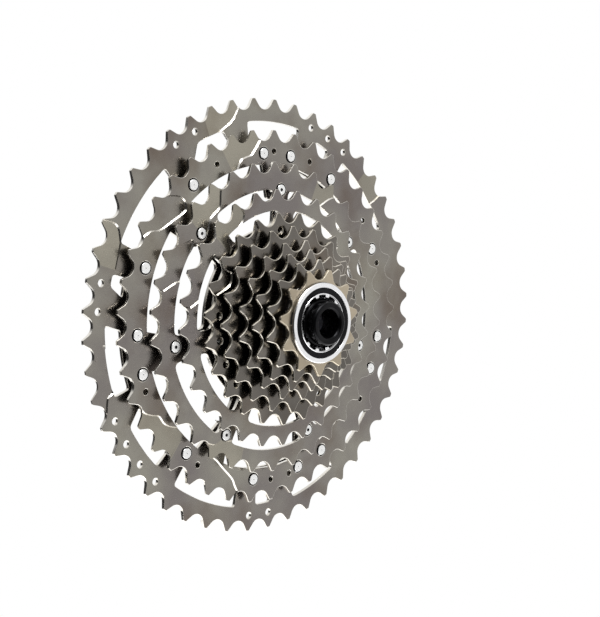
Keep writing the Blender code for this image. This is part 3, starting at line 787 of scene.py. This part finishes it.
def make_lockring(materials):
    low, high = planes("lockring")
    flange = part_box("lockring")[1][0]
    back = planes("lockring_washer")[1] + 0.15 * MM
    profile = [
        (LOCKRING_BORE, low + 0.2 * MM), (LOCKRING_THREAD - 0.3 * MM, low + 0.2 * MM),
        (LOCKRING_THREAD, low + 0.6 * MM), (LOCKRING_THREAD, back), (flange - 0.05 * MM, back),
        (flange - 0.05 * MM, high - 0.5 * MM),
        (flange - 0.35 * MM, high - 0.12 * MM), (flange - 0.8 * MM, high - 0.02 * MM),
        (15.55 * MM, high - 0.06 * MM), (15.4 * MM, high - 0.25 * MM),
        (12.95 * MM, high - 0.25 * MM), (12.8 * MM, high - 0.1 * MM), (12.55 * MM, high - 0.1 * MM),
        (12.45 * MM, high - 0.35 * MM),
    ]
    silver, black = 0, 1
    bands = [silver] * len(profile)
    bands[9] = black
    ring_piece = turned("fine_lockring", profile, [materials["silver"], materials["black"]], 144, bands)
    outline = []
    for i in range(NOTCHES):
        middle = 360 * i / NOTCHES
        outline += arc(NOTCH_ROOT, middle - 9, middle + 9, 6)
        outline += arc(NOTCH_TIP, middle + 11, middle + 19, 4)
    teeth = plate("lockring_notches", [circle(12.62 * MM, 120), outline], low + 0.4 * MM, high - 0.45 * MM,
                  [materials["silver"], materials["silver"]], 0.15 * MM)
    for piece in (ring_piece, teeth):
        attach(piece, "lockring")
        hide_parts("lockring")
    low, high = planes("lockring_washer")
    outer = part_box("lockring_washer")[1][0] - 0.05 * MM
    profile = [(WASHER_BORE, low), (outer, low), (outer, high), (WASHER_BORE, high)]
    washer = turned("fine_lockring_washer", profile, [materials["silver"]])
    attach(washer, "lockring_washer")
    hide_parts("lockring_washer")


def make_end_cap(materials):
    low, high = planes("end_cap")
    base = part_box("end_cap")[1][0] - 0.02 * MM
    step = high - CAP_NOSE_LENGTH
    groove = low + O_RING_PLACE
    bottom = base - GROOVE_DEPTH
    groove_from, groove_to = groove - GROOVE_HALF_WIDTH, groove + GROOVE_HALF_WIDTH
    profile = [
        (CAP_SKIRT, low), (CAP_LEAD, low), (CAP_LEAD, low + 1.5 * MM), (base, low + 2.5 * MM),
        (base, groove_from), (bottom, groove_from), (bottom, groove_to), (base, groove_to),
        (base, step - 0.9 * MM), (base - 0.6 * MM, step), (CAP_NOSE, step), (CAP_NOSE, high - 0.7 * MM),
        (CAP_NOSE - 0.7 * MM, high), (CAP_BORE + 0.9 * MM, high), (CAP_BORE, high - 0.9 * MM),
        (CAP_BORE, low + CAP_SKIRT_DEPTH), (CAP_SKIRT, low + CAP_SKIRT_DEPTH),
    ]
    cap = turned("fine_end_cap", rounded(profile, 0.25 * MM), [materials["black"]], 120)
    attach(cap, "end_cap")
    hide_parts("end_cap")
    ring_radius = base - 0.3 * MM
    loop = [(ring_radius + p.x, groove + p.y) for p in circle(O_RING_WIRE, 14)]
    o_ring = turned("fine_end_cap_o_ring", loop, [materials["rubber"]])
    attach(o_ring, "end_cap")
    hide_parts("end_cap_o_ring")


# ---------------------------------------------------------------- bearings

def make_races(materials):
    """Round races, whose grooves leave the balls room at every angle."""
    groove = BALL_RADIUS + BALL_CLEARANCE
    half = BALL_RADIUS * 0.8
    for place in ("inboard", "outboard"):
        for part, side in (("outer_race", 1), ("inner_race", -1)):
            node = f"bearing_{place}_{part}"
            low, high = planes(node)
            middle = (low + high) / 2
            land = BALL_CIRCLE + side * RACE_LAND
            deep = BALL_CIRCLE + side * groove
            seat_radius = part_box(node)[1][0] if side > 0 else SLEEVE_SEAT
            profile = [
                (seat_radius, low), (seat_radius, high), (land, high), (land, middle + half),
                (deep, middle + half / 2), (deep, middle - half / 2), (land, middle - half), (land, low),
            ]
            race = turned(f"fine_{node}", profile, [materials["race"]])
            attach(race, RACE_BODIES[part])
            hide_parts(node)


# ---------------------------------------------------------------- carried-over CAD nodes

def dress_cad_nodes(materials):
    finishes = {
        "freehub_body": "body", "axle_sleeve": "body", "freehub_seal": "rubber",
        "pawl_1": "race", "pawl_2": "race", "pawl_3": "race", "pawl_spring": "race",
    }
    for place in ("inboard", "outboard"):
        finishes[f"bearing_{place}_ball_cage"] = "race"
    for node, finish in finishes.items():
        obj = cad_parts[node]
        for slot in obj.material_slots:
            slot.material = materials[finish]


# ---------------------------------------------------------------- stage

def make_stage():
    """A round white floor, small enough to stay out of the reflections in the walls."""
    bm = bmesh.new()
    bmesh.ops.create_circle(bm, cap_ends=True, segments=96, radius=FLOOR_RADIUS)
    material, nodes, _ = new_material("floor_paper")
    shader = nodes["Principled BSDF"]
    shader.inputs["Base Color"].default_value = (0.9, 0.9, 0.9, 1)
    shader.inputs["Roughness"].default_value = 0.9
    shader.inputs["Emission Color"].default_value = (1, 1, 1, 1)
    shader.inputs["Emission Strength"].default_value = 0.8
    floor = finish_mesh("floor", bm, [material])
    floor.location = (0, 0, FLOOR_HEIGHT)


def glow_towards(nodes, links, coords, direction, stops):
    """Brightness of one soft panel, by the angle from its middle."""
    dot = nodes.new("ShaderNodeVectorMath")
    dot.operation = "DOT_PRODUCT"
    links.new(coords, dot.inputs[0])
    dot.inputs[1].default_value = Vector(direction).normalized()
    return ramp(nodes, links, dot.outputs["Value"], stops)


def make_world():
    """White backdrop behind, soft panels at the front right and above, and a dark room elsewhere."""
    world = bpy.data.worlds.new("studio")
    bpy.context.scene.world = world
    world.use_nodes = True
    nodes, links = world.node_tree.nodes, world.node_tree.links
    background = nodes["Background"]
    coords = nodes.new("ShaderNodeTexCoord").outputs["Generated"]
    panels = [
        ((0.69, 0.72, -0.05), [(0.60, grey(0.03)), (0.82, grey(1.0))]),
        ((0.74, -0.67, -0.02), [(0.45, grey(0.03)), (0.92, grey(0.9))]),
        ((0.0, 0.25, 1.0), [(0.35, grey(0.03)), (0.80, grey(1.0))]),
    ]
    total = None
    for direction, stops in panels:
        glow = glow_towards(nodes, links, coords, direction, stops)
        if total is None:
            total = glow
            continue
        lighter = nodes.new("ShaderNodeVectorMath")
        lighter.operation = "MAXIMUM"
        links.new(total, lighter.inputs[0])
        links.new(glow, lighter.inputs[1])
        total = lighter.outputs["Vector"]
    path = nodes.new("ShaderNodeLightPath")
    seen = mix(nodes, links, path.outputs["Is Camera Ray"], total, (1.0, 1.0, 1.0))
    links.new(seen, background.inputs["Color"])
    background.inputs["Strength"].default_value = 1.0


def make_light(name, place, size, power):
    data = bpy.data.lights.new(name, "AREA")
    data.shape = "DISK"
    data.size = size
    data.energy = power
    light = bpy.data.objects.new(name, data)
    light.location = place
    light.rotation_euler = (-Vector(place)).to_track_quat("-Z", "Y").to_euler()
    bpy.context.scene.collection.objects.link(light)


def make_camera():
    """The view from the front left, a little above the axis."""
    azimuth, elevation = math.radians(CAMERA_AZIMUTH), math.radians(CAMERA_ELEVATION)
    back = Vector((math.sin(azimuth) * math.cos(elevation), -math.cos(azimuth) * math.cos(elevation),
                   math.sin(elevation)))
    right = Vector((math.cos(azimuth), math.sin(azimuth), 0.0))
    up = back.cross(right)
    largest = sum(sprocket_planes(0)) / 2
    target = Vector((0, -largest, 0))
    data = bpy.data.cameras.new("camera")
    data.sensor_width = 36.0
    data.lens = CAMERA_LENS
    data.clip_start, data.clip_end = 0.01, 50.0
    camera = bpy.data.objects.new("camera", data)
    to_right, upwards, away = CAMERA_OFFSET
    camera.location = target + right * to_right + up * upwards + back * away
    camera.rotation_mode = "QUATERNION"
    camera.rotation_quaternion = Matrix((right, up, back)).transposed().to_quaternion()
    bpy.context.scene.collection.objects.link(camera)
    bpy.context.scene.camera = camera
    bpy.context.scene.view_settings.view_transform = "Standard"


make_camera()
materials = make_materials()
for number in range(len(SPROCKETS)):
    make_sprocket(number, materials)
make_hub_boss(materials)
make_spacers(materials)
make_rivets(materials)
make_lockring(materials)
make_end_cap(materials)
make_races(materials)
dress_cad_nodes(materials)
make_stage()
make_world()
make_light("key", (-0.3, -0.5, 1.4), 0.9, 18.0)
